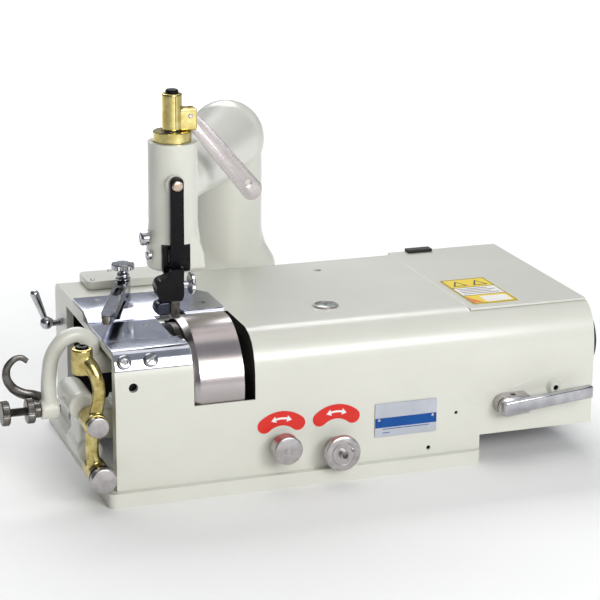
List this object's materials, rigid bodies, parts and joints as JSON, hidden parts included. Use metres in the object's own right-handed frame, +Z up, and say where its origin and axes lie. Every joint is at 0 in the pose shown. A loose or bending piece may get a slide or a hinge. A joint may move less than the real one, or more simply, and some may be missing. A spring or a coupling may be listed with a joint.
{
  "type": "leather skiving machine",
  "caption": "Bench bell-knife leather skiving machine with swan-neck presser arm, feed bracket, throat plates and adjusting knobs.",
  "frame": {"origin": "centre of the machine's bounding box on the plane its cast foot stands on", "axes": "+X along the casting from its open working end to the pulley end, +Y to the back, +Z up"},
  "size_m": [0.6696, 0.3866, 0.4187],
  "materials": {
    "enamel": "smooth cream-grey machine enamel, semi-gloss",
    "polished_steel": "polished steel plate and chromed fittings",
    "knife_steel": "ground steel with fine rings around the bell",
    "satin_aluminium": "turned satin aluminium",
    "brass": "bare cast and machined brass",
    "black_oxide": "black oxide and black paint on steel",
    "dark_steel": "burnished grey steel",
    "grit": "abrasive stone, drawn as a matt solid",
    "rubber_black": "black rubber",
    "sight_glass": "clear oil window over a dark well",
    "label_red": "printed red label with white arrows",
    "label_yellow": "printed yellow caution label with plain symbols",
    "plate_silver": "silver plate with a blue band"
  },
  "bodies": {
    "frame": {"main_housing": "enamel", "rear_gear_cover": "enamel", "oil_window": "sight_glass", "right_throat_plate": "polished_steel", "left_throat_plate": "polished_steel", "low_throat_plate": "polished_steel", "front_plate": "polished_steel", "front_plate_screw_1": "polished_steel", "front_plate_screw_2": "polished_steel", "right_plate_screw": "polished_steel", "left_plate_screw": "polished_steel", "low_plate_screw": "polished_steel", "knife_quill": "dark_steel", "gear_case": "enamel", "presser_arm": "enamel", "bar_guide": "black_oxide", "head_screw": "polished_steel", "pressure_collar": "brass", "guide_block": "polished_steel", "grinder_knob_collar": "satin_aluminium", "side_lever_hub": "satin_aluminium", "nameplate": "plate_silver", "arrow_label_1": "label_red", "arrow_label_2": "label_red"},
    "cover": {"belt_cover": "enamel", "cover_bumper": "rubber_black", "warning_label": "label_yellow"},
    "knife": {"bell_knife": "knife_steel", "knife_shaft": "polished_steel", "drive_pulley": "black_oxide"},
    "grinder": {"grinding_wheel": "grit", "grinder_shaft": "polished_steel"},
    "feed_arm": {"feed_bracket": "enamel", "hook_pin": "polished_steel"},
    "roller": {"feed_roller": "dark_steel", "feed_shaft": "polished_steel"},
    "gap_screw": {"gap_screw": "dark_steel"},
    "lock_nut": {"gap_lock_nut": "dark_steel"},
    "hook": {"hook_lever": "dark_steel"},
    "worm_lever": {"brass_lever": "brass", "sleeve_button": "satin_aluminium"},
    "stop_knob": {"stop_knob": "satin_aluminium"},
    "clamp": {"clamp_lever": "dark_steel"},
    "presser": {"presser_rod": "polished_steel", "presser_post": "brass", "post_cap": "black_oxide", "foot_bar": "black_oxide", "bar_screw": "brass", "foot_holder": "black_oxide", "foot_shank": "dark_steel", "foot_sole": "dark_steel", "lever_pin": "polished_steel"},
    "lift_lever": {"lift_lever": "polished_steel"},
    "thumb_screw": {"thumb_screw": "polished_steel"},
    "guide": {"guide_arm": "polished_steel"},
    "guide_knob": {"guide_knob": "polished_steel", "guide_washer": "polished_steel"},
    "knife_knob": {"knife_knob": "satin_aluminium"},
    "grinder_knob": {"grinder_knob": "satin_aluminium"},
    "side_lever": {"side_lever": "polished_steel"}
  },
  "joints": [
    {"name": "cover_hinge", "type": "hinge", "parent": "frame", "child": "cover", "pos_m": [0.2432, 0.10505, 0.165], "axis": [-1, 0, 0], "range_deg": [0, 95]},
    {"name": "knife_spin", "type": "hinge", "parent": "frame", "child": "knife", "pos_m": [-0.1188, -0.09575, 0.111], "axis": [1, 0, 0], "continuous": true},
    {"name": "grinder_spin", "type": "hinge", "parent": "frame", "child": "grinder", "pos_m": [-0.1438, -0.01225, 0.06], "axis": [1, 0, 0], "continuous": true},
    {"name": "feed_swing", "type": "hinge", "parent": "frame", "child": "feed_arm", "pos_m": [-0.2548, -0.10225, 0.1], "axis": [0, 1, 0], "range_deg": [0, 0.7]},
    {"name": "feed_spin", "type": "hinge", "parent": "feed_arm", "child": "roller", "pos_m": [-0.1508, -0.09575, 0.136], "axis": [1, 0, 0], "continuous": true},
    {"name": "gap_screw_turn", "type": "hinge", "parent": "feed_arm", "child": "gap_screw", "pos_m": [-0.3188, -0.10225, 0.092], "axis": [1, 0, 0], "range_deg": [-180, 180]},
    {"name": "lock_nut_turn", "type": "hinge", "parent": "feed_arm", "child": "lock_nut", "pos_m": [-0.3038, -0.10225, 0.092], "axis": [1, 0, 0], "range_deg": [-90, 90]},
    {"name": "hook_swing", "type": "hinge", "parent": "feed_arm", "child": "hook", "pos_m": [-0.2828, -0.08525, 0.097], "axis": [0, 1, 0], "range_deg": [-6, 12]},
    {"name": "worm_lever_swing", "type": "hinge", "parent": "frame", "child": "worm_lever", "pos_m": [-0.2468, -0.15225, 0.036], "axis": [0, 1, 0], "range_deg": [-8, 4]},
    {"name": "stop_knob_turn", "type": "hinge", "parent": "worm_lever", "child": "stop_knob", "pos_m": [-0.2468, -0.17225, 0.036], "axis": [0, 1, 0], "range_deg": [-180, 180]},
    {"name": "clamp_turn", "type": "hinge", "parent": "frame", "child": "clamp", "pos_m": [-0.2368, 0.06975, 0.131], "axis": [1, 0, 0], "range_deg": [-60, 40]},
    {"name": "presser_lift", "type": "slide", "parent": "frame", "child": "presser", "axis": [0, 0, 1], "range_m": [0, 0.006]},
    {"name": "lever_turn", "type": "hinge", "parent": "presser", "child": "lift_lever", "pos_m": [-0.1304, -0.09625, 0.3912], "axis": [0, -1, 0], "range_deg": [0, 70]},
    {"name": "thumb_screw_turn", "type": "hinge", "parent": "presser", "child": "thumb_screw", "pos_m": [-0.1408, -0.13275, 0.223], "axis": [1, 0, 0], "range_deg": [-180, 180]},
    {"name": "guide_slide", "type": "slide", "parent": "frame", "child": "guide", "axis": [-0.3775, -0.926, 0], "range_m": [-0.01, 0.003]},
    {"name": "guide_knob_turn", "type": "hinge", "parent": "frame", "child": "guide_knob", "pos_m": [-0.1688, 0.03175, 0.195], "axis": [0, 0, 1], "range_deg": [-90, 180]},
    {"name": "knife_knob_turn", "type": "hinge", "parent": "frame", "child": "knife_knob", "pos_m": [-0.0508, -0.17725, 0.048], "axis": [0, 1, 0], "range_deg": [-180, 180]},
    {"name": "grinder_knob_turn", "type": "hinge", "parent": "frame", "child": "grinder_knob", "pos_m": [0.0102, -0.18225, 0.0375], "axis": [0, 1, 0], "range_deg": [-180, 180]},
    {"name": "side_lever_turn", "type": "hinge", "parent": "frame", "child": "side_lever", "pos_m": [0.2032, -0.18425, 0.066], "axis": [0, 1, 0], "range_deg": [-30, 30]}
  ],
  "couplings": [
    {"joint": "lever_turn", "follows": "presser_lift", "rad_per_m": 203.62}
  ]
}
